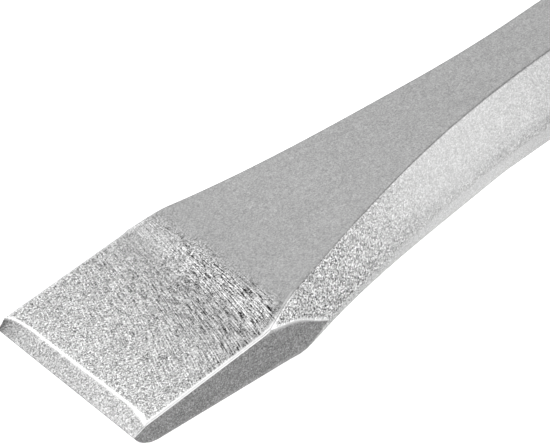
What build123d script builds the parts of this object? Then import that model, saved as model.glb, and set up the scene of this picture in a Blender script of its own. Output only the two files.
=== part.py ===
from build123d import *
import os
from math import pi, sin, sqrt

# Handled pry bar: one forging of hexagonal steel runs from the chisel tip,
# through a moulded handle, to a steel strike cap that is pinned to its tang.
#
# Frame, in millimetres: the bar lies along X with its chisel tip at -X and its
# strike cap at +X. Z is up, two flats of the hexagon face up and down, and the
# handle's flanges rest on z = 0. The origin is below the middle of the length.

os.makedirs("parts", exist_ok=True)

# ---- driving dimensions ----
OVERALL = 406.0              # nose of the tip to the strike face
BAR_FLATS = 16.0             # hexagonal bar, across its flats
HANDLE_FLATS = 38.0          # flanges at the ends of the handle, across their flats

BLADE_WIDTH = 30.0
NOSE = 2.5                   # how far the nose stands out from the blade's top edge
BLADE_TOP = 4.4              # blade's top edge above the bar's axis
TOP_RISE = 0.035             # rise of the working facet along the blade
BEVEL_END = 3.03             # foot of the bevel above the bar's axis
BLADE_BOTTOM = 0.06          # underside above the bar's axis, below the tip edge
BOTTOM_FALL = 0.1            # fall of the underside along the blade

CREST = 25.3                 # from the tip edge to the crest of the blade
CREST_RAMP = 1.8             # short ramp that lifts the facet to the crest
CREST_TOP = 6.6              # crest above the bar's axis
CREST_TOP_HALF = 13.8        # half the width of the top flat at the crest
CREST_SIDE_HALF = 16.4       # half the width over the side corners at the crest
HEEL = 26.7                  # from the tip edge to the heel of the underside
TRIM_START = 20.3            # in front of this the blade has plain upright sides
TOP_RUN = 60.6               # lengths in which the top, the side corners, the underside
SIDE_RUN = 50.6              # and both heights grow from the blade to the hexagon
BOTTOM_RUN = 48.0
HEIGHT_RUN = 41.3
DEPTH_RUN = 50.0
TOP_POWER = 1.84             # how fast each width closes in at first
SIDE_POWER = 1.8
BOTTOM_POWER = 1.3
TRANSITION_STEPS = 14

EXPOSED = 205.0              # tip edge to the front of the bolster
BOLSTER_LENGTH = 10.0
BOLSTER_DIAMETER = 28.0
WASHER_LENGTH = 3.0
WASHER_DIAMETER = 27.0
CORE_LENGTH = 168.0
FLANGE_LENGTH = 10.0
CORE_FLATS = 27.0            # core under the grip, across its flats
RING_LENGTH = 3.0
RING_FLATS = 36.0
BUFFER_LENGTH = 3.0
BUFFER_DIAMETER = 31.0
CAP_DIAMETER = 32.0

GRIP_END_FLATS = 33.4
GRIP_SWELL = 2.0             # how much wider the middle of the grip is than its ends
GRIP_SECTIONS = 7
GROOVE_WIDTH = 2.0           # grooves that run round the grip
GROOVE_FLATS = 32.4          # bottom of the grooves, across their flats
GROOVE_PITCH = 14.0
GROOVE_COUNT = 7
CORNER_RADIUS = 8.0          # of the grip, the rings and the flanges

SPIGOT_DIAMETER = 11.0
SPIGOT_LENGTH = 10.0
PIN_DIAMETER = 4.0
PIN_BORE = 2.2
PIN_SLOT = 0.7
CORE_PIN_DIAMETER = 5.0
CORE_PIN_OFFSET = 45.0       # core pins, each side of the middle of the core

# ---- dimensions that follow ----
AXIS_Z = HANDLE_FLATS / 2
TIP_X = NOSE - OVERALL / 2
BAR_CORNER = BAR_FLATS / sqrt(3)
BAR_HALF_FLAT = BAR_CORNER / 2
BOLSTER_X = TIP_X + EXPOSED
WASHER_X = BOLSTER_X + BOLSTER_LENGTH
CORE_X = WASHER_X + WASHER_LENGTH
CORE_END_X = CORE_X + CORE_LENGTH
BUFFER_X = CORE_END_X
CAP_X = BUFFER_X + BUFFER_LENGTH
STRIKE_X = OVERALL / 2
CAP_LENGTH = STRIKE_X - CAP_X
FRONT_RING_X = CORE_X + FLANGE_LENGTH
REAR_RING_X = CORE_END_X - FLANGE_LENGTH - RING_LENGTH
GRIP_X = FRONT_RING_X + RING_LENGTH
GRIP_LENGTH = REAR_RING_X - GRIP_X


def across(x):
    """Plane square to the bar at x: its own x is the row's Y, its own y is Z."""
    return Plane(origin=(x, 0, AXIS_Z), x_dir=(0, 1, 0), z_dir=(1, 0, 0))


def hexagon(flats, corner_radius=0.0):
    """Hexagon with flats up and down, its corners rounded if asked."""
    outline = RegularPolygon(radius=flats / sqrt(3), side_count=6)
    if corner_radius > 0:
        outline = fillet(outline.vertices(), corner_radius)
    return outline


def hexagonal_bar(x, length, flats, corner_radius=0.0):
    return extrude(across(x) * hexagon(flats, corner_radius), amount=length)


def round_bar(x, length, diameter):
    return extrude(across(x) * Circle(diameter / 2), amount=length)


def upright_pin(x, diameter, height):
    """Cylinder along Z, centred on the bar's axis at x."""
    return Pos(x, 0, AXIS_Z) * Cylinder(diameter / 2, height)


# ---- the forging ----
def closing_in(distance, start, run, start_half, end_half, power):
    """Half width that eases from start_half at start to end_half at the end of its run."""
    share = (distance - start) / run
    return end_half + (start_half - end_half) * max(1 - share, 0) ** power


def grown(distance, start, run, start_height):
    """Height that grows smoothly from start_height to that of the hexagon."""
    share = min(max((distance - start) / run, 0), 1)
    return start_height + (BAR_FLATS / 2 - start_height) * share**2 * (3 - 2 * share)


def facet_height(distance):
    return BLADE_TOP + TOP_RISE * distance


def underside_depth(distance):
    return BOTTOM_FALL * distance - BLADE_BOTTOM


def forging_section(distance):
    """Six-sided section at a distance from the tip edge, wider than the blade at its front."""
    if distance < CREST:
        top = facet_height(distance)
    else:
        top = grown(distance, CREST, HEIGHT_RUN, CREST_TOP)
    if distance < HEEL:
        bottom = underside_depth(distance)
    else:
        bottom = grown(distance, HEEL, DEPTH_RUN, underside_depth(HEEL))
    top_half = closing_in(distance, CREST, TOP_RUN, CREST_TOP_HALF, BAR_HALF_FLAT, TOP_POWER)
    side_half = closing_in(distance, CREST, SIDE_RUN, CREST_SIDE_HALF, BAR_CORNER, SIDE_POWER)
    bottom_half = closing_in(
        distance, HEEL, BOTTOM_RUN, BLADE_WIDTH / 2, BAR_HALF_FLAT, BOTTOM_POWER
    )
    corners = [
        (top_half, top),
        (-top_half, top),
        (-side_half, 0),
        (-bottom_half, -bottom),
        (bottom_half, -bottom),
        (side_half, 0),
    ]
    return across(TIP_X + distance) * make_face(Polyline(*corners, close=True))


def blade_profile():
    """Side view of the blade: facet, bevel, rounded nose and underside."""
    tip_edge = (TIP_X, AXIS_Z + BLADE_TOP)
    bevel_end = (TIP_X - NOSE, AXIS_Z + BEVEL_END)
    nose_middle = (TIP_X - 1.2, AXIS_Z + 1.0)
    nose_end = (TIP_X + 1.2, AXIS_Z - underside_depth(1.2))
    back_bottom = (TIP_X + TRIM_START, AXIS_Z - underside_depth(TRIM_START))
    back_top = (TIP_X + TRIM_START, AXIS_Z + facet_height(TRIM_START))
    edges = [
        Line(back_top, tip_edge),
        Line(tip_edge, bevel_end),
        ThreePointArc(bevel_end, nose_middle, nose_end),
        Line(nose_end, back_bottom),
        Line(back_bottom, back_top),
    ]
    return Plane.XZ * make_face(edges)


def pry_bar_forging():
    blade = extrude(blade_profile(), amount=BLADE_WIDTH / 2, both=True)
    ramp = [TRIM_START, CREST - CREST_RAMP, CREST]
    neck = loft([forging_section(distance) for distance in ramp], ruled=True)
    steps = [CREST + TOP_RUN * i / TRANSITION_STEPS for i in range(TRANSITION_STEPS + 1)]
    neck += loft([forging_section(distance) for distance in steps])
    shank_x = TIP_X + CREST + TOP_RUN
    trim = Pos(shank_x, 0, AXIS_Z) * Box(4 * TOP_RUN, BLADE_WIDTH, BLADE_WIDTH)
    shank = hexagonal_bar(shank_x, CAP_X - shank_x, BAR_FLATS)
    spigot = round_bar(CAP_X, SPIGOT_LENGTH, SPIGOT_DIAMETER)
    spigot = chamfer(spigot.faces().sort_by(Axis.X)[-1].edges(), 0.8)
    body = blade + (neck & trim) + shank + spigot
    for x, diameter in cross_pins():
        body -= upright_pin(x, diameter, 2 * BAR_FLATS)
    return body


# ---- pins ----
def cross_pins():
    """Place and diameter of every pin that crosses the bar."""
    middle = CORE_X + CORE_LENGTH / 2
    return [
        (BOLSTER_X + BOLSTER_LENGTH / 2, PIN_DIAMETER),
        (middle - CORE_PIN_OFFSET, CORE_PIN_DIAMETER),
        (middle + CORE_PIN_OFFSET, CORE_PIN_DIAMETER),
        (CAP_X + SPIGOT_LENGTH / 2, PIN_DIAMETER),
    ]


def spring_pin(x, height):
    """Rolled spring pin: a tube with a slot down its back."""
    pin = upright_pin(x, PIN_DIAMETER, height)
    pin = chamfer(pin.edges().filter_by(GeomType.CIRCLE), 0.3)
    pin -= upright_pin(x, PIN_BORE, 2 * height)
    slot = Pos(x + PIN_DIAMETER / 2, 0, AXIS_Z) * Box(PIN_DIAMETER, PIN_SLOT, 2 * height)
    return pin - slot


def bolster_pin():
    return spring_pin(cross_pins()[0][0], BOLSTER_DIAMETER - 1.0)


def core_pins():
    return Part() + [upright_pin(x, d, CORE_FLATS - 0.4) for x, d in cross_pins()[1:3]]


def strike_cap_pin():
    return spring_pin(cross_pins()[3][0], CAP_DIAMETER - 1.0)


# ---- handle ----
def front_bolster():
    collar = round_bar(BOLSTER_X, BOLSTER_LENGTH, BOLSTER_DIAMETER)
    collar = chamfer(collar.faces().sort_by(Axis.X)[0].edges(), 2.5)
    collar -= hexagonal_bar(BOLSTER_X, BOLSTER_LENGTH, BAR_FLATS)
    return collar - upright_pin(cross_pins()[0][0], PIN_DIAMETER, 2 * BOLSTER_DIAMETER)


def front_washer():
    disc = round_bar(WASHER_X, WASHER_LENGTH, WASHER_DIAMETER)
    return disc - hexagonal_bar(WASHER_X, WASHER_LENGTH, BAR_FLATS)


def core_body(x, length):
    """The stretch of the core that the grip and the accent rings fit round."""
    return hexagonal_bar(x, length, CORE_FLATS, 4.0)


def flange(x):
    block = hexagonal_bar(x, FLANGE_LENGTH, HANDLE_FLATS, CORNER_RADIUS)
    rims = block.faces().filter_by(Axis.X).edges()
    return fillet(rims, 2.0)


def handle_core():
    core = core_body(CORE_X, CORE_LENGTH)
    core += flange(CORE_X) + flange(CORE_END_X - FLANGE_LENGTH)
    core -= hexagonal_bar(CORE_X, CORE_LENGTH, BAR_FLATS)
    for x, diameter in cross_pins()[1:3]:
        core -= upright_pin(x, diameter, 2 * CORE_FLATS)
    return core


def accent_ring(x):
    ring = hexagonal_bar(x, RING_LENGTH, RING_FLATS, CORNER_RADIUS)
    return ring - core_body(x, RING_LENGTH)


def soft_grip():
    shares = [i / (GRIP_SECTIONS - 1) for i in range(GRIP_SECTIONS)]
    grip = loft([
        across(GRIP_X + share * GRIP_LENGTH)
        * hexagon(GRIP_END_FLATS + GRIP_SWELL * sin(pi * share) ** 2, CORNER_RADIUS)
        for share in shares
    ])
    first = GRIP_X + (GRIP_LENGTH - GROOVE_PITCH * (GROOVE_COUNT - 1) - GROOVE_WIDTH) / 2
    for i in range(GROOVE_COUNT):
        x = first + i * GROOVE_PITCH
        band = hexagonal_bar(x, GROOVE_WIDTH, HANDLE_FLATS + CORNER_RADIUS)
        grip -= band - hexagonal_bar(x, GROOVE_WIDTH, GROOVE_FLATS, CORNER_RADIUS)
    return grip - core_body(GRIP_X, GRIP_LENGTH)


# ---- striking end ----
def buffer_washer():
    disc = round_bar(BUFFER_X, BUFFER_LENGTH, BUFFER_DIAMETER)
    return disc - hexagonal_bar(BUFFER_X, BUFFER_LENGTH, BAR_FLATS)


def strike_cap():
    cap = round_bar(CAP_X, CAP_LENGTH, CAP_DIAMETER)
    cap = fillet(cap.faces().sort_by(Axis.X)[-1].edges(), 3.0)
    cap = chamfer(cap.faces().sort_by(Axis.X)[0].edges(), 0.8)
    cap -= round_bar(CAP_X, SPIGOT_LENGTH + 0.4, SPIGOT_DIAMETER)
    return cap - upright_pin(cross_pins()[3][0], PIN_DIAMETER, 2 * CAP_DIAMETER)


PARTS = {
    "pry_bar_forging": pry_bar_forging(),
    "front_bolster": front_bolster(),
    "bolster_pin": bolster_pin(),
    "front_washer": front_washer(),
    "handle_core": handle_core(),
    "core_pins": core_pins(),
    "front_accent_ring": accent_ring(FRONT_RING_X),
    "soft_grip": soft_grip(),
    "rear_accent_ring": accent_ring(REAR_RING_X),
    "buffer_washer": buffer_washer(),
    "strike_cap": strike_cap(),
    "strike_cap_pin": strike_cap_pin(),
}

for name, shape in PARTS.items():
    export_step(shape, f"parts/{name}.step")
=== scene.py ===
import math

import bmesh
import bpy
import numpy as np
from mathutils import Matrix, Vector, noise

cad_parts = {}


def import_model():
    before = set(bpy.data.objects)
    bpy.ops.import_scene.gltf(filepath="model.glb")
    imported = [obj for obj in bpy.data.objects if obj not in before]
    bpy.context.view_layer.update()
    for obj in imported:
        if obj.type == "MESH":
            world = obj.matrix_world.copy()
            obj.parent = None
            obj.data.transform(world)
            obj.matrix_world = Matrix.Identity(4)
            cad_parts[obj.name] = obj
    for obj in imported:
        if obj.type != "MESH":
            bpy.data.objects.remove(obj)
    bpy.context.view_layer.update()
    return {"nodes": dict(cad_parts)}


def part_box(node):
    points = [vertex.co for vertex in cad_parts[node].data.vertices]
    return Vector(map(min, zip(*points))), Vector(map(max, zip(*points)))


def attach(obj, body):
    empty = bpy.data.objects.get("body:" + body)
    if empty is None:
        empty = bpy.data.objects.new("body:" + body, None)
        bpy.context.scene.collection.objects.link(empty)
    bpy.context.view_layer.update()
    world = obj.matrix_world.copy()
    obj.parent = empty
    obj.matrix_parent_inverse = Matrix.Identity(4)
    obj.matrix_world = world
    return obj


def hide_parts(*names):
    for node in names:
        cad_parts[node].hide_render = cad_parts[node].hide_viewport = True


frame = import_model()

# Lengths in this script are millimetres unless a name says otherwise. X runs along the bar
# from the tip to the strike cap, and heights are measured from the bar's axis.
MM = 0.001
forging_low, forging_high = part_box("pry_bar_forging")
core_low, core_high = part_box("handle_core")
AXIS_Z = (core_low.z + core_high.z) / 2

# ---- forging ----
NOSE = 2.5
TIP_X = forging_low.x / MM + NOSE
BLADE_HALF = forging_high.y / MM
BLADE_TOP = 4.4
TOP_RISE = 0.035
BEVEL_END = 3.03
BLADE_BOTTOM = 0.06
BOTTOM_FALL = 0.1
NOSE_ARC = ((-NOSE, BEVEL_END), (-1.2, 1.0), (1.2, -0.06))
CREST = 25.3
CREST_RAMP = 1.8
CREST_TOP = 6.6
CREST_TOP_HALF = 13.8
CREST_SIDE_HALF = 16.4
HEEL = 26.7
TRIM_START = 20.3
TOP_RUN = 60.6
SIDE_RUN = 50.6
BOTTOM_RUN = 48.0
HEIGHT_RUN = 41.3
DEPTH_RUN = 50.0
TOP_POWER = 1.84
SIDE_POWER = 1.8
BOTTOM_POWER = 1.3
BAR_FLATS = 16.0
BAR_CORNER = BAR_FLATS / math.sqrt(3)
BAR_HALF_FLAT = BAR_CORNER / 2
SPIGOT_LENGTH = 10.0
SHOULDER = forging_high.x / MM - SPIGOT_LENGTH - TIP_X
TRIM_END = 30.9              # where the side corner comes within the blade's width
EDGE_RADIUS = 0.25
NOSE_SKEW = 0.028            # how much further the nose runs on the near side, per mm of width
CREST_SKEW = 0.045           # how far the crest runs back across the blade, per mm of width
CREST_BULGE = 0.5            # rounding of the upper facet where it meets the blade's side
BULGE_AT, BULGE_SPREAD = 26.2, 2.8
CORNER_DROP = 0.45           # how far the side corner lies below the axis behind the blade
DROP_AT, DROP_SPREAD = 28, 3
TIP_ZONE = 4                 # the bevel and its rounded edge end before this
BEVEL_SOFTNESS = 0.05
TIP_BACK = 0.1               # how far the worn tip edge lies behind the straight one
TIP_BOW, TIP_BOW_START = 0.025, 9.5
TIP_CORNER_START = 13.6
NEAR_CORNER, FAR_CORNER = 0.1, 0.3
TIP_SLANT = 0.37
NEAR_FALL = 0.57             # fall of the upper face towards its near side, at the tip
NEAR_FALL_EASE = 0.015       # how much less it falls, per mm from the tip
NEAR_FALL_END = (20, 27)
SHANK_ARRIS = 0.3            # what the shank's arrises add to the blade's radius
SHANK_CORNER = 2.0
RIDGE_HEIGHT = 0.003
RIDGE_PITCH = 0.5
LEAN, LEAN_FALL = 0.5, 0.016  # slant of ridges and streaks at the tip, and its loss per mm
WAVE_HEIGHT = 0.05
RELIEF_MARGIN = 0.8          # the relief fades out this near to an arris
# The arrises carry wear with a painted highlight: their base colour is lifted towards white where a
# rounded edge would glint, less so on the far side.
WEAR_AND_HIGHLIGHT_WIDTH = 0.09            # narrowest line of wear and painted highlight along an arris
UPPER_WEAR_AND_HIGHLIGHT, TRIM_WEAR_AND_HIGHLIGHT = 0.55, 0.15
FAR_WEAR_AND_HIGHLIGHT = 0.25              # share of the wear and painted highlight that the far side shows


def smooth_step(value, start, end):
    share = min(max((value - start) / (end - start), 0.0), 1.0)
    return share * share * (3 - 2 * share)


def soft_start(s, start):
    """The larger of s and start, rounded where they meet."""
    return start - 0.1 + 0.5 * (s - start + math.hypot(s - start, 1.4))


def closing_in(s, start, run, start_half, end_half, power):
    share = (max(s, TRIM_START) - start) / run
    return end_half + (start_half - end_half) * max(1 - share, 0) ** power


def circle_through(points):
    (ax, az), (bx, bz), (cx, cz) = points
    d = 2 * (ax * (bz - cz) + bx * (cz - az) + cx * (az - bz))
    a, b, c = ax * ax + az * az, bx * bx + bz * bz, cx * cx + cz * cz
    x = (a * (bz - cz) + b * (cz - az) + c * (az - bz)) / d
    z = (a * (cx - bx) + b * (ax - cx) + c * (bx - ax)) / d
    return x, z, math.hypot(ax - x, az - z)


NOSE_X, NOSE_Z, NOSE_RADIUS = circle_through(NOSE_ARC)


def tip_edge(y):
    """Distance from the nominal tip edge to the real one, which bows forward at its ends."""
    edge = TIP_BACK - TIP_BOW * max(abs(y) - TIP_BOW_START, 0) ** 2
    corner = max(abs(y) - TIP_CORNER_START, 0) ** 2
    if y < 0:
        return edge - NEAR_CORNER * corner + TIP_SLANT * -y / BLADE_HALF
    return edge - FAR_CORNER * corner


def near_fall(s, y):
    """How far the blade's upper face falls towards its near side."""
    share = max(-y, 0) / BLADE_HALF * (1 - smooth_step(s, *NEAR_FALL_END))
    return (NEAR_FALL - NEAR_FALL_EASE * s) * share


def bevelled_height(s, y):
    facet = BLADE_TOP + TOP_RISE * s - near_fall(s, y)
    edge = tip_edge(y)
    edge_height = BLADE_TOP + TOP_RISE * edge - near_fall(edge, y)
    bevel = BEVEL_END + (edge_height - BEVEL_END) * (s + NOSE) / (edge + NOSE)
    return facet - 0.5 * (facet - bevel + math.hypot(facet - bevel, BEVEL_SOFTNESS))


def top_height(s):
    """Height of the upper face at the blade's sides: bevel, facet, crest and shank."""
    facet = BLADE_TOP + TOP_RISE * s
    if s < TIP_ZONE:
        return bevelled_height(s, BLADE_HALF)
    shank = CREST_TOP + (BAR_FLATS / 2 - CREST_TOP) * smooth_step(s, CREST, CREST + HEIGHT_RUN)
    return facet + (shank - facet) * smooth_step(s, CREST - 3.2 * CREST_RAMP, CREST + 2.4)


def bottom_depth(s):
    if s < NOSE_ARC[2][0]:
        return math.sqrt(max(NOSE_RADIUS ** 2 - (s - NOSE_X) ** 2, 0)) - NOSE_Z
    depth = BOTTOM_FALL * min(s, HEEL) - BLADE_BOTTOM
    return depth + (BAR_FLATS / 2 - depth) * smooth_step(s, HEEL, HEEL + DEPTH_RUN)


def half_widths(s):
    return (
        closing_in(s, CREST, TOP_RUN, CREST_TOP_HALF, BAR_HALF_FLAT, TOP_POWER),
        closing_in(s, CREST, SIDE_RUN, CREST_SIDE_HALF, BAR_CORNER, SIDE_POWER),
        closing_in(soft_start(s, HEEL), HEEL, BOTTOM_RUN, BLADE_HALF, BAR_HALF_FLAT, BOTTOM_POWER),
    )


def line(normal, point):
    """A side of the section as its unit normal and its distance from the axis."""
    normal = np.array(normal, float) / np.hypot(*normal)
    return normal, float(normal @ np.array(point, float))


def meet(first, second):
    (a, b), d = first
    (c, e), f = second
    det = a * e - b * c
    return np.array([(d * e - b * f) / det, (a * f - d * c) / det])


def section_lines(s):
    """Top, upper facet, trimmed side, lower facet and bottom of the right half section."""
    top, side, bottom = half_widths(s)
    high, low = top_height(s), bottom_depth(s)
    corner = -CORNER_DROP * math.exp(-((s - DROP_AT) / DROP_SPREAD) ** 2)
    bulge = CREST_BULGE * math.exp(-((s - BULGE_AT) / BULGE_SPREAD) ** 2)
    return [
        line((0, 1), (0, high)),
        line((max(high - corner, 0.5), side + bulge - top), (side + bulge, corner)),
        line((1, 0), (BLADE_HALF, 0)),
        line((max(low + corner, 0.5), bottom - side), (side, corner)),
        line((0, -1), (0, -low)),
    ]


TOP, UPPER, TRIM, LOWER, BOTTOM = range(5)
SIDE_POINTS = (40, 12, 12, 10, 14)
ARC_POINTS = 5


def corner_points(lines):
    """Corners between neighbouring sides; a side that the others cut off gets no length."""
    corners = [meet(a, b) for a, b in zip(lines, lines[1:])]
    for k in (UPPER, TRIM, LOWER):
        normal = lines[k][0]
        along = np.array([normal[1], -normal[0]])
        if (corners[k] - corners[k - 1]) @ along < 1e-6:
            corners[k - 1] = corners[k] = meet(lines[k - 1], lines[k + 1])
    return corners


def arris_radii(s):
    """Radii of the four arrises of a half section, top to bottom."""
    blade = EDGE_RADIUS * min((top_height(s) + bottom_depth(s)) / 3, 1)
    top = blade + SHANK_ARRIS * smooth_step(s, CREST, CREST + TOP_RUN)
    side = blade + SHANK_CORNER * smooth_step(s, TRIM_END, TRIM_END + 20)
    return [top, side, side, top]


def half_outline(s):
    """Right half section, top's middle to bottom's middle: (y, z, side, distance, arris)."""
    radii = arris_radii(s)
    lines = section_lines(s)
    step = 0.5 * min(radii)
    outer = corner_points(lines)
    inset = corner_points([(normal, distance - step) for normal, distance in lines])
    centres = [o + (i - o) * r / step for o, i, r in zip(outer, inset, radii)]
    top_middle = np.array([0.0, lines[TOP][1]])
    bottom_middle = np.array([0.0, -lines[BOTTOM][1]])
    points = []
    for k, (normal, _) in enumerate(lines):
        start = top_middle if k == TOP else centres[k - 1] + radii[k - 1] * normal
        end = bottom_middle if k == BOTTOM else centres[k] + radii[k] * normal
        length = np.hypot(*(end - start))
        for i in range(SIDE_POINTS[k]):
            t = i / (SIDE_POINTS[k] - 1)
            to_start = math.inf if k == TOP else t * length
            to_end = math.inf if k == BOTTOM else (1 - t) * length
            arris = k if to_end < to_start else k - 1
            place = start + (end - start) * t
            points.append((*place, k, min(to_start, to_end), arris))
        if k < BOTTOM:
            first = math.atan2(normal[1], normal[0])
            turn = math.atan2(lines[k + 1][0][1], lines[k + 1][0][0]) - first
            for i in range(1, ARC_POINTS):
                angle = first + turn * i / ARC_POINTS
                place = centres[k] + radii[k] * np.array([math.cos(angle), math.sin(angle)])
                points.append((*place, k if 2 * i < ARC_POINTS else k + 1, 0.0, k))
    return points


def stations():
    """Distances from the tip edge of the sections. The spigot inside the cap is left out."""
    nose = [-NOSE + 0.02 + 1.2 * (1 - math.cos(i / 10 * math.pi / 2)) for i in range(10)]
    spans = ((-1.28, 1.25, 0.1), (1.25, 27, 0.16), (27, 33, 0.2), (33, 88, 0.6), (88, 200, 2.0))
    steps = [s for start, end, step in spans for s in np.arange(start, end, step)]
    return nose + steps + [200.0, SHOULDER]


def ridge_height(s, y):
    """Forging ridges that run slantwise across the blade, strongest in front of the crest."""
    fade = smooth_step(s, 0.3, 2.0) * (1 - smooth_step(s, CREST - 3.0, CREST + 0.6))
    if fade == 0:
        return 0.0
    swell = 0.55 + 0.45 * smooth_step(s, 4, CREST - 4)
    across = s - y * (LEAN - LEAN_FALL * s)
    place = Vector((across / RIDGE_PITCH, y / 4.0, 3.1))
    return RIDGE_HEIGHT * noise.noise(place) * fade * swell


def waviness(s, y):
    """Slow unevenness of the forged faces."""
    return WAVE_HEIGHT * noise.noise(Vector((s / 14, y / 9, 1.7)))


def wear_and_highlight_at(s, y, side, distance, arris):
    """How far wear and a painted highlight brighten the surface, from 0 to 1, along the arrises of
    the blade.
    """
    wear_and_highlight, width = 0.0, WEAR_AND_HIGHLIGHT_WIDTH
    if arris == TOP and s > -0.5:
        wear_and_highlight = 1 - 0.6 * smooth_step(s, CREST - 4, CREST - 1.5)
        wear_and_highlight -= 0.4 * smooth_step(s, CREST, CREST + 3)
        width += 0.12 * math.exp(-((s / 2.5) ** 2))
        width += 0.26 * math.exp(-(((s - CREST + 4) / 2.4) ** 2))
    elif arris == UPPER and s < TRIM_END:
        wear_and_highlight = UPPER_WEAR_AND_HIGHLIGHT * smooth_step(s, CREST - 6, CREST - 3)
        width += 0.16 * math.exp(-(((s - CREST + 2.5) / 1.8) ** 2))
    elif arris == TRIM and s < TRIM_END:
        wear_and_highlight = TRIM_WEAR_AND_HIGHLIGHT
    wear_and_highlight *= math.exp(-((distance / width) ** 2))
    # painted highlight over the sliver of upper facet in front of the crest
    if side == UPPER:
        wear_and_highlight = max(wear_and_highlight, 1 - smooth_step(s, CREST - 3.4, CREST - 2.2))
    # the far side shows less of the painted highlight
    if y > 0:
        wear_and_highlight *= FAR_WEAR_AND_HIGHLIGHT
    # wear with a painted highlight along the tip edge
    if side == TOP:
        width = 0.19 + 0.14 * smooth_step(-y, 10, 14)
        wear_and_highlight = max(wear_and_highlight, math.exp(-(((s - tip_edge(y)) / width) ** 2)))
    return wear_and_highlight


def finish_at(s, y, side, distance, arris):
    """Tone, grain, ridges, wear and roughness of the forging's surface at one point. The tone holds
    painted shade in places, and the wear a painted highlight.
    """
    ragged = s - CREST_SKEW * y + 0.4 * noise.noise(Vector((y / 2.2, s / 6, 5.3)))
    on_blade = 1 - smooth_step(ragged, CREST - 1.8, CREST + 1.2)
    on_bevel = 1 - smooth_step(s - tip_edge(y), -0.1, 0.1)
    near_crest = smooth_step(s, 5, CREST - 5) * smooth_step(-y, -9, 9)
    far_crest = smooth_step(s, 12, CREST - 2) * smooth_step(y, 0, 12)
    near_tip = 1 - smooth_step(s, 0, 14)
    forward = 1 - min(max(s, 0), CREST) / CREST
    ridge, rough = 0.0, 0.45
    if side in (TOP, BOTTOM):
        on_ramp = math.exp(-(((ragged - CREST + 0.4) / 2) ** 2))
        tone = 0.385 + on_blade * (0.19 * forward - 0.05 - 0.06 * near_crest)
        # darker on the bevel; the darkening over the crest's ramp is painted shade, against a bright
        # band from the lamps
        tone -= 0.15 * on_bevel + 0.06 * on_ramp
        grain = 0.4 + 0.12 * near_tip - 0.28 * far_crest - 0.18 * near_crest
        grain = 0.14 + on_blade * grain - 0.3 * on_bevel
        ridge = 0.38 + 0.14 * near_crest - 0.18 * far_crest - 0.22 * near_tip
        ridge *= on_blade * (1 - on_bevel)
        rough = 0.42 - 0.1 * on_blade * (1 - on_bevel)
    elif side == TRIM and s < TRIM_END:
        # painted shade: the trimmed sides, which face sideways, get a much darker tone than the
        # facets
        tone, grain = 0.225, 0.2
    else:
        tone = 0.43 + 0.1 * smooth_step(s, CREST + 5, 60) - 0.17 * smooth_step(s, 60, 105)
        grain = 0.68 - 0.5 * smooth_step(s, 32, 60)
        if side != UPPER:
            grain += 0.12
            # painted shade: darker close to the side corner
            tone += 0.03 * (1 - math.exp(-distance / 1.5)) - 0.02
        elif arris != TOP:
            # painted shade: the upper facet darker towards its lower corner
            tone -= 0.05 * math.exp(-distance / 1.5)
    wear_and_highlight = wear_and_highlight_at(s, y, side, distance, arris)
    return tone, grain, ridge, wear_and_highlight, rough + 0.15 * wear_and_highlight


def surface_offset(s, y, distance):
    """Relief of the upper face, which fades out at its arrises."""
    offset = ridge_height(s, y) + waviness(s, y)
    if s >= TIP_ZONE:
        offset += top_height(max(s - CREST_SKEW * y, TIP_ZONE)) - top_height(s)
    return offset * (1 - math.exp(-((distance / RELIEF_MARGIN) ** 2)))


def upper_shift(s, y):
    """How far the upper face at y stands above its height at the far side of the blade."""
    if s < TIP_ZONE:
        return bevelled_height(s, y) - bevelled_height(s, BLADE_HALF)
    return -near_fall(s, y)


def forging_rings():
    rings, finish = [], []
    for s in stations():
        half = half_outline(s)
        high, low = top_height(s), bottom_depth(s)
        other = [(-y, z, k, d, c) for y, z, k, d, c in reversed(half[1:-1])]
        ring = []
        for y, z, side, distance, arris in half + other:
            if side == TOP:
                z += surface_offset(s, y, distance)
            if s < TRIM_END:
                share = 1 if side == TOP else min(max((z + low) / (high + low), 0), 1)
                z += share * upper_shift(s, y)
            skew = NOSE_SKEW * y * (1 - smooth_step(s, -NOSE, 3))
            ring.append((TIP_X + s + skew, y, z))
            finish.append(finish_at(s, y, side, distance, arris))
        rings.append(ring)
    return rings, finish


def new_piece(name, mesh):
    piece = bpy.data.objects.new(name, mesh)
    bpy.context.scene.collection.objects.link(piece)
    for polygon in mesh.polygons:
        polygon.use_smooth = True
    return piece


def joined_rings(name, rings, looped):
    """Mesh through rings of points. A looped one closes on its first ring, or its ends are capped."""
    size, count = len(rings[0]), len(rings)
    points = [(x * MM, y * MM, z * MM + AXIS_Z) for ring in rings for x, y, z in ring]
    faces = []
    for i in range(count if looped else count - 1):
        here, after = i * size, (i + 1) % count * size
        for j in range(size):
            k = (j + 1) % size
            faces.append((here + j, here + k, after + k, after + j))
    if not looped:
        faces.append(tuple(reversed(range(size))))
        faces.append(tuple(range((count - 1) * size, count * size)))
    mesh = bpy.data.meshes.new(name)
    mesh.from_pydata(points, [], faces)
    work = bmesh.new()
    work.from_mesh(mesh)
    bmesh.ops.recalc_face_normals(work, faces=work.faces)
    work.to_mesh(mesh)
    work.free()
    return new_piece(name, mesh)


def weld(mesh):
    """Joins points that lie on each other, so that no face is left without an area."""
    work = bmesh.new()
    work.from_mesh(mesh)
    bmesh.ops.remove_doubles(work, verts=work.verts, dist=1e-7)
    work.to_mesh(mesh)
    work.free()


def build_forging():
    rings, finish = forging_rings()
    piece = joined_rings("blade_and_shank", rings, looped=False)
    for index, name in enumerate(("tone", "grain", "ridge", "wear_and_highlight", "rough")):
        layer = piece.data.attributes.new(name, "FLOAT", "POINT")
        layer.data.foreach_set("value", np.array([values[index] for values in finish], np.float32))
    weld(piece.data)
    return piece


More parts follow.
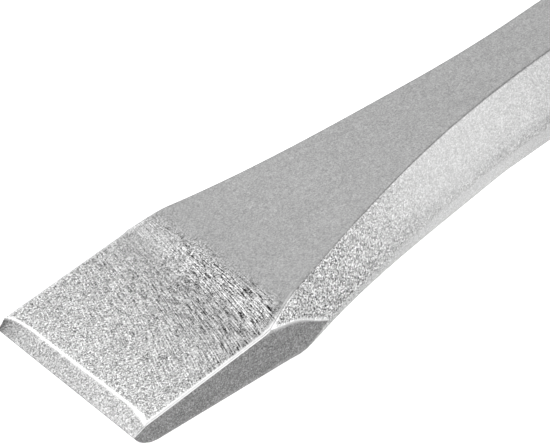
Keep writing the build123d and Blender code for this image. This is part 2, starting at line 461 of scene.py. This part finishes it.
# ---- handle ----
ROUND = 99.0                 # a corner radius that makes a rounded hexagon a circle
RING_POINTS = 144
BORE_CORNER = 0.3
CORE_HALF = 13.5
CORE_CORNER = 4.0
SHELL_CORNER = 8.0
GRIP_END_FLATS = 33.4
GRIP_SWELL = 2.0
GROOVE_FLATS = 32.4
GROOVE_PITCH = 14.0
GROOVE_COUNT = 7


def hexagon_ring(x, half, corner):
    """Hexagon with rounded corners and flats up and down, across the bar at x."""
    corner = min(corner, half)
    centre = (half - corner) / math.cos(math.pi / 6)
    ring = []
    for i in range(RING_POINTS):
        angle = 2 * math.pi * i / RING_POINTS
        local = (angle + math.pi / 6) % (math.pi / 3) - math.pi / 6
        radius = half / math.cos(local)
        if abs(math.tan(local)) * half > (half - corner) * math.tan(math.pi / 6):
            off = math.pi / 6 - abs(local)
            radius = math.sqrt(max(corner ** 2 - (centre * math.sin(off)) ** 2, 0))
            radius += centre * math.cos(off)
        ring.append((x, radius * math.sin(angle), radius * math.cos(angle)))
    return ring


def rounded(outline):
    """Outline of (x, half size, corner radius, fillet) with its fillets worked out."""
    path = []
    for i, (x, half, corner, fillet) in enumerate(outline):
        if fillet == 0:
            path.append((x, half, corner))
            continue
        here = Vector((x, half))
        back = (Vector(outline[i - 1][:2]) - here).normalized()
        on = (Vector(outline[(i + 1) % len(outline)][:2]) - here).normalized()
        opening = back.angle(on)
        centre = here + (back + on).normalized() * fillet / math.sin(opening / 2)
        reach = fillet / math.tan(opening / 2)
        first = (here + back * reach - centre).normalized()
        last = (here + on * reach - centre).normalized()
        for k in range(7):
            point = centre + first.slerp(last, k / 6) * fillet
            path.append((point.x, point.y, corner))
    return path


def supported(path):
    """Adds rings near the ends of every long stretch, so that its shading stays flat.

    The corner radius is blended too. Where a bore has a ROUND outside, the ring next to the bore
    is nearly round already, so the end face folds over itself by up to 0.6 mm at the six corners.
    """
    full = []
    for here, after in zip(path, path[1:] + path[:1]):
        full.append(here)
        length = math.hypot(after[0] - here[0], after[1] - here[1])
        if length > 0.8:
            inner = [i / 4 for i in (1, 2, 3)]
            for share in [0.15 / length] + inner + [1 - 0.15 / length]:
                full.append(tuple(a + (b - a) * share for a, b in zip(here, after)))
    return full


def sleeve(name, outline):
    """Ring-shaped piece round the bar from its closed half section."""
    return joined_rings(name, [hexagon_ring(*place) for place in supported(rounded(outline))], True)


def span(node):
    low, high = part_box(node)
    return low.x / MM, high.x / MM, high.z / MM - AXIS_Z / MM


def drill(piece, node):
    """Cuts the upright hole that the pin of this node sits in."""
    low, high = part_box(node)
    work = bmesh.new()
    place = Matrix.Translation(((low.x + high.x) / 2, 0, AXIS_Z))
    radius = (high.y - low.y) / 2    # 0.02 mm too small where the pin has a slot
    bmesh.ops.create_cone(work, cap_ends=True, segments=48, radius1=radius, radius2=radius,
                          depth=0.1, matrix=place)
    mesh = bpy.data.meshes.new("cutter")
    work.to_mesh(mesh)
    work.free()
    cutter = bpy.data.objects.new("cutter", mesh)
    bpy.context.scene.collection.objects.link(cutter)
    cut = piece.modifiers.new("hole", "BOOLEAN")
    cut.object = cutter
    bpy.context.view_layer.update()
    graph = bpy.context.evaluated_depsgraph_get()
    piece.data = bpy.data.meshes.new_from_object(piece.evaluated_get(graph))
    piece.modifiers.clear()
    bpy.data.objects.remove(cutter)
    piece.data.set_sharp_from_angle(angle=math.radians(40))
    return piece


def washer(name, node, fillet):
    start, end, half = span(node)
    bore = BAR_FLATS / 2
    return sleeve(name, [
        (start, bore, BORE_CORNER, 0),
        (start, half, ROUND, fillet),
        (end, half, ROUND, fillet),
        (end, bore, BORE_CORNER, 0),
    ])


def build_bolster():
    start, end, half = span("front_bolster")
    bore, slope = BAR_FLATS / 2, 2.5
    piece = sleeve("bolster_collar", [
        (start, bore + 0.3, BORE_CORNER, 0),
        (start, half - slope, ROUND, 0.5),
        (start + slope, half, ROUND, 0.8),
        (end, half, ROUND, 0.4),
        (end, bore, BORE_CORNER, 0),
    ])
    return drill(piece, "bolster_pin")


def build_core():
    start, end, half = span("handle_core")
    front, back = span("front_accent_ring")[0], span("rear_accent_ring")[1]
    bore = BAR_FLATS / 2
    return sleeve("core_and_flanges", [
        (start, bore, BORE_CORNER, 0),
        (start, half, SHELL_CORNER, 2.0),
        (front, half, SHELL_CORNER, 2.0),
        (front, CORE_HALF, CORE_CORNER, 0),
        (back, CORE_HALF, CORE_CORNER, 0),
        (back, half, SHELL_CORNER, 2.0),
        (end, half, SHELL_CORNER, 2.0),
        (end, bore, BORE_CORNER, 0),
    ])


def build_accent(name, node):
    start, end, half = span(node)
    return sleeve(name, [
        (start, CORE_HALF, CORE_CORNER, 0),
        (start, half, SHELL_CORNER, 0.7),
        (end, half, SHELL_CORNER, 0.7),
        (end, CORE_HALF, CORE_CORNER, 0),
    ])


def grip_half(x, start, end):
    """Half the grip's size across flats: barrel, rounded ends and soft-edged grooves."""
    share = (x - start) / (end - start)
    half = (GRIP_END_FLATS + GRIP_SWELL * math.sin(math.pi * share) ** 2) / 2
    middle = (start + end) / 2
    for i in range(GROOVE_COUNT):
        off = abs(x - middle - (i - (GROOVE_COUNT - 1) / 2) * GROOVE_PITCH)
        half -= (half - GROOVE_FLATS / 2) * (1 - smooth_step(off, 0.6, 1.5))
    edge = min(x - start, end - x, 1.0)
    return half - (1 - math.sqrt(1 - (1 - edge) ** 2))


def build_grip():
    start, end, _ = span("soft_grip")
    count = 380
    places = [start + (end - start) * i / count for i in range(count + 1)]
    rim = [start + 0.03, start + 0.1, start + 0.2]
    places = sorted(places + rim + [start + end - x for x in rim])
    outside = [(x, grip_half(x, start, end), SHELL_CORNER) for x in places]
    inside = [(end, CORE_HALF, CORE_CORNER), (start, CORE_HALF, CORE_CORNER)]
    return joined_rings("grip_sleeve", [hexagon_ring(*place) for place in outside + inside], True)


def build_cap():
    start, end, half = span("strike_cap")
    bore_half, bore_end, middle = 5.5, start + SPIGOT_LENGTH + 0.4, 0.05
    path = supported(rounded([
        (bore_end, middle, ROUND, 0),
        (bore_end, bore_half, ROUND, 0),
        (start, bore_half, ROUND, 0),
        (start, half - 0.8, ROUND, 0.3),
        (start + 0.8, half, ROUND, 0.5),
        (end, half, ROUND, 3.0),
        (end, middle, ROUND, 0),
    ]))
    while path[-1][1] > middle or path[-1][0] < end:
        path.pop()
    piece = joined_rings("cap_body", [hexagon_ring(*place) for place in path], False)
    return drill(piece, "strike_cap_pin")


# ---- materials ----
def new_material(name):
    material = bpy.data.materials.new(name)
    material.use_nodes = True
    return material, material.node_tree, material.node_tree.nodes["Principled BSDF"]


def add(tree, kind, **values):
    node = tree.nodes.new(kind)
    for key, value in values.items():
        if key in node.inputs:
            node.inputs[key].default_value = value
        else:
            setattr(node, key, value)
    return node


def attribute(tree, name):
    return add(tree, "ShaderNodeAttribute", attribute_name=name).outputs["Fac"]


def calculate(tree, operation, *values):
    node = add(tree, "ShaderNodeMath", operation=operation)
    for socket, value in zip(node.inputs, values):
        if isinstance(value, (int, float)):
            socket.default_value = value
        else:
            tree.links.new(value, socket)
    return node.outputs[0]


def noise_at(tree, scale, stretch=(1, 1, 1), detail=2.0, roughness=0.6):
    place = add(tree, "ShaderNodeTexCoord")
    mapping = add(tree, "ShaderNodeMapping")
    mapping.inputs["Scale"].default_value = stretch
    texture = add(tree, "ShaderNodeTexNoise", Scale=scale, Detail=detail, Roughness=roughness)
    tree.links.new(place.outputs["Object"], mapping.inputs["Vector"])
    tree.links.new(mapping.outputs["Vector"], texture.inputs["Vector"])
    return calculate(tree, "SUBTRACT", texture.outputs["Fac"], 0.5)


def set_bump(tree, shader, height, distance):
    bump = add(tree, "ShaderNodeBump", Strength=1.0, Distance=distance)
    tree.links.new(height, bump.inputs["Height"])
    tree.links.new(bump.outputs["Normal"], shader.inputs["Normal"])


def grey_from(tree, value, socket):
    colour = add(tree, "ShaderNodeCombineColor")
    for channel in ("Red", "Green", "Blue"):
        tree.links.new(value, colour.inputs[channel])
    tree.links.new(colour.outputs["Color"], socket)


def speckle(tree, scale):
    """Random light and dark specks round zero, with the dark ones in the majority."""
    place = add(tree, "ShaderNodeTexCoord")
    cells = add(tree, "ShaderNodeTexVoronoi", Scale=scale)
    tree.links.new(place.outputs["Object"], cells.inputs["Vector"])
    split = add(tree, "ShaderNodeSeparateColor")
    tree.links.new(cells.outputs["Color"], split.inputs[0])
    square = calculate(tree, "MULTIPLY", split.outputs["Red"], split.outputs["Red"])
    return calculate(tree, "SUBTRACT", square, 1 / 3)


def leaning_streaks(tree):
    """Streaks across the blade that lean towards the tip, most of all near the tip edge."""
    place = add(tree, "ShaderNodeTexCoord")
    split = add(tree, "ShaderNodeSeparateXYZ")
    tree.links.new(place.outputs["Object"], split.inputs[0])
    along = calculate(tree, "SUBTRACT", split.outputs["X"], TIP_X * MM)
    lean = calculate(tree, "MULTIPLY_ADD", along, -LEAN_FALL / MM, LEAN)
    shift = calculate(tree, "MULTIPLY", split.outputs["Y"], lean)
    joined = add(tree, "ShaderNodeCombineXYZ")
    tree.links.new(calculate(tree, "SUBTRACT", along, shift), joined.inputs["X"])
    tree.links.new(calculate(tree, "MULTIPLY", split.outputs["Y"], 0.07), joined.inputs["Y"])
    texture = add(tree, "ShaderNodeTexNoise", Scale=6400, Detail=0)
    tree.links.new(joined.outputs[0], texture.inputs["Vector"])
    return calculate(tree, "SUBTRACT", texture.outputs["Fac"], 0.5)


def blasted_steel():
    material, tree, shader = new_material("blasted_steel")
    tone, grain = attribute(tree, "tone"), attribute(tree, "grain")
    ridge, wear_and_highlight = attribute(tree, "ridge"), attribute(tree, "wear_and_highlight")
    clear_of_wear_and_highlight = calculate(tree, "SUBTRACT", 1.0, wear_and_highlight)
    fine = calculate(tree, "MULTIPLY", noise_at(tree, 4200, detail=1, roughness=0.6), grain)
    lines = calculate(tree, "MULTIPLY", leaning_streaks(tree), ridge)
    relief = calculate(tree, "MULTIPLY", calculate(tree, "ADD", fine, lines), clear_of_wear_and_highlight)
    set_bump(tree, shader, relief, 0.0001)
    specks = calculate(tree, "MULTIPLY", speckle(tree, 6500), grain)
    shade = calculate(tree, "MULTIPLY_ADD", specks, clear_of_wear_and_highlight, tone)
    # the base colour follows the relief: lighter on raised grain and ridges, darker in their hollows;
    # partly grain, partly painted light and shade
    shade = calculate(tree, "MULTIPLY_ADD", relief, 1.8, shade)
    blotch = noise_at(tree, 160, detail=3)
    shade = calculate(tree, "MULTIPLY_ADD", blotch, 0.06, shade)
    mottle = noise_at(tree, 1100, detail=2)
    shade = calculate(tree, "MULTIPLY_ADD", mottle, 0.12, shade)
    # painted highlight: wear lifts the base colour up to 1.1, brighter than white
    bright = calculate(tree, "MINIMUM", calculate(tree, "MULTIPLY_ADD", wear_and_highlight, 0.65, shade), 1.1)
    grey_from(tree, bright, shader.inputs["Base Color"])
    shader.inputs["Metallic"].default_value = 0.85
    tree.links.new(attribute(tree, "rough"), shader.inputs["Roughness"])
    return material


def turned_steel():
    """Satin steel with turning marks: rings on round surfaces and on end faces."""
    material, tree, shader = new_material("turned_steel")
    place = add(tree, "ShaderNodeTexCoord").outputs["Object"]
    split = add(tree, "ShaderNodeSeparateXYZ")
    tree.links.new(place, split.inputs[0])
    height = calculate(tree, "SUBTRACT", split.outputs["Z"], AXIS_Z)
    square = calculate(tree, "MULTIPLY", height, height)
    square = calculate(tree, "MULTIPLY_ADD", split.outputs["Y"], split.outputs["Y"], square)
    along = calculate(tree, "ADD", split.outputs["X"], calculate(tree, "SQRT", square))
    marks = add(tree, "ShaderNodeTexNoise", noise_dimensions="1D", Scale=4200, Detail=2)
    tree.links.new(along, marks.inputs["W"])
    relief = calculate(tree, "MULTIPLY_ADD", noise_at(tree, 2500), 0.3, marks.outputs["Fac"])
    set_bump(tree, shader, relief, 0.00004)
    shade = calculate(tree, "MULTIPLY_ADD", noise_at(tree, 300, detail=4), 0.12, 0.5)
    grey_from(tree, shade, shader.inputs["Base Color"])
    shader.inputs["Metallic"].default_value = 1.0
    rough = calculate(tree, "MULTIPLY_ADD", noise_at(tree, 220, detail=3), 0.2, 0.33)
    tree.links.new(rough, shader.inputs["Roughness"])
    return material


def moulded(name, grey, roughness, grain, depth, metallic=0.0):
    """Textured finish of one grey, with fine grain and faint unevenness."""
    material, tree, shader = new_material(name)
    relief = noise_at(tree, grain, detail=2, roughness=0.7)
    set_bump(tree, shader, relief, depth)
    patches = calculate(tree, "MULTIPLY_ADD", noise_at(tree, 90, detail=3), 0.35 * grey, grey)
    shade = calculate(tree, "MULTIPLY_ADD", relief, 0.3 * grey, patches)
    grey_from(tree, shade, shader.inputs["Base Color"])
    rough = calculate(tree, "MULTIPLY_ADD", noise_at(tree, 140, detail=2), 0.15, roughness)
    tree.links.new(rough, shader.inputs["Roughness"])
    shader.inputs["Metallic"].default_value = metallic
    return material


def finish_piece(piece, material, slot, *nodes):
    piece.data.materials.append(material)
    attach(piece, "root")
    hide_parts(*nodes)


finish_piece(build_forging(), blasted_steel(), "blasted_steel", "pry_bar_forging")

steel = turned_steel()
nylon = moulded("core_nylon", 0.035, 0.45, 3200, 0.00006)
grip_rubber = moulded("grip_rubber", 0.06, 0.6, 2000, 0.0002)
accent_plastic = moulded("accent_plastic", 0.5, 0.32, 5000, 0.00002)
washer_rubber = moulded("washer_rubber", 0.025, 0.7, 3000, 0.00008)
pin_steel = moulded("pin_steel", 0.3, 0.35, 5200, 0.00003, metallic=1.0)

finish_piece(build_bolster(), steel, "bright_steel", "front_bolster")
finish_piece(washer("front_seal", "front_washer", 0.7), washer_rubber, "washer_rubber",
             "front_washer")
finish_piece(build_core(), nylon, "core_nylon", "handle_core")
for end in ("front", "rear"):
    ring = build_accent(f"{end}_ring", f"{end}_accent_ring")
    finish_piece(ring, accent_plastic, "accent_plastic", f"{end}_accent_ring")
finish_piece(build_grip(), grip_rubber, "grip_rubber", "soft_grip")
finish_piece(washer("rear_buffer", "buffer_washer", 0.9), washer_rubber, "washer_rubber",
             "buffer_washer")
finish_piece(build_cap(), steel, "bright_steel", "strike_cap")

for name in ("bolster_pin", "core_pins", "strike_cap_pin"):
    pin = frame["nodes"][name]
    pin.data.materials.clear()
    pin.data.materials.append(pin_steel)


# ---- stage ----
def floor():
    size, level = 3.0, -0.00002
    mesh = bpy.data.meshes.new("floor")
    corners = [(-size, -size), (size, -size), (size, size), (-size, size)]
    mesh.from_pydata([(x, y, level) for x, y in corners], [], [(0, 1, 2, 3)])
    ground = bpy.data.objects.new("floor", mesh)
    bpy.context.scene.collection.objects.link(ground)
    material, _, shader = new_material("floor")
    shader.inputs["Base Color"].default_value = (0.9, 0.9, 0.9, 1)
    shader.inputs["Roughness"].default_value = 0.9
    shader.inputs["Emission Color"].default_value = (1, 1, 1, 1)
    shader.inputs["Emission Strength"].default_value = 0.6
    mesh.materials.append(material)


def area_light(name, place, target, size, power):
    data = bpy.data.lights.new(name, "AREA")
    data.shape = "RECTANGLE"
    data.size, data.size_y = size
    data.energy = power
    lamp = bpy.data.objects.new(name, data)
    lamp.location = place
    lamp.rotation_euler = (Vector(place) - Vector(target)).to_track_quat("Z", "Y").to_euler()
    lamp.visible_camera = False
    bpy.context.scene.collection.objects.link(lamp)


def world():
    scene = bpy.context.scene
    scene.world = bpy.data.worlds.new("studio")
    scene.world.use_nodes = True
    back = scene.world.node_tree.nodes["Background"]
    back.inputs["Color"].default_value = (1, 1, 1, 1)
    back.inputs["Strength"].default_value = 0.3


CAMERA_AZIMUTH = -35.76      # degrees; the camera stands before the tip, on the near side
CAMERA_ELEVATION = 41.07
CAMERA_ROLL = -9.02
CAMERA_DISTANCE = 451.1
CAMERA_TARGET = (TIP_X + 39.46, 5.45, 0)
CAMERA_LENS = 211.1


def camera():
    data = bpy.data.cameras.new("camera")
    data.sensor_width = 36.0
    data.lens = CAMERA_LENS
    data.clip_start = 0.01
    azimuth, elevation = math.radians(CAMERA_AZIMUTH), math.radians(CAMERA_ELEVATION)
    level = math.cos(elevation)
    back = Vector((math.sin(azimuth) * level, -math.cos(azimuth) * level, math.sin(elevation)))
    place = (Vector(CAMERA_TARGET) + back * CAMERA_DISTANCE) * MM + Vector((0, 0, AXIS_Z))
    turn = back.to_track_quat("Z", "Y").to_matrix().to_4x4()
    roll = Matrix.Rotation(math.radians(CAMERA_ROLL), 4, "Z")
    cam = bpy.data.objects.new("camera", data)
    cam.matrix_world = Matrix.Translation(place) @ turn @ roll
    bpy.context.scene.collection.objects.link(cam)
    bpy.context.scene.camera = cam


floor()
world()
area_light("key", (0.4, -0.9, 0.45), (-0.12, 0, 0), (1.3, 0.8), 6)
area_light("far", (0.1, 0.8, 1.0), (-0.12, 0, 0), (2.0, 1.2), 8)
area_light("tip", (-0.5, 0.75, 0.95), (-0.2, 0, 0), (0.6, 0.6), 3)
camera()
bpy.context.scene.view_settings.view_transform = "Standard"
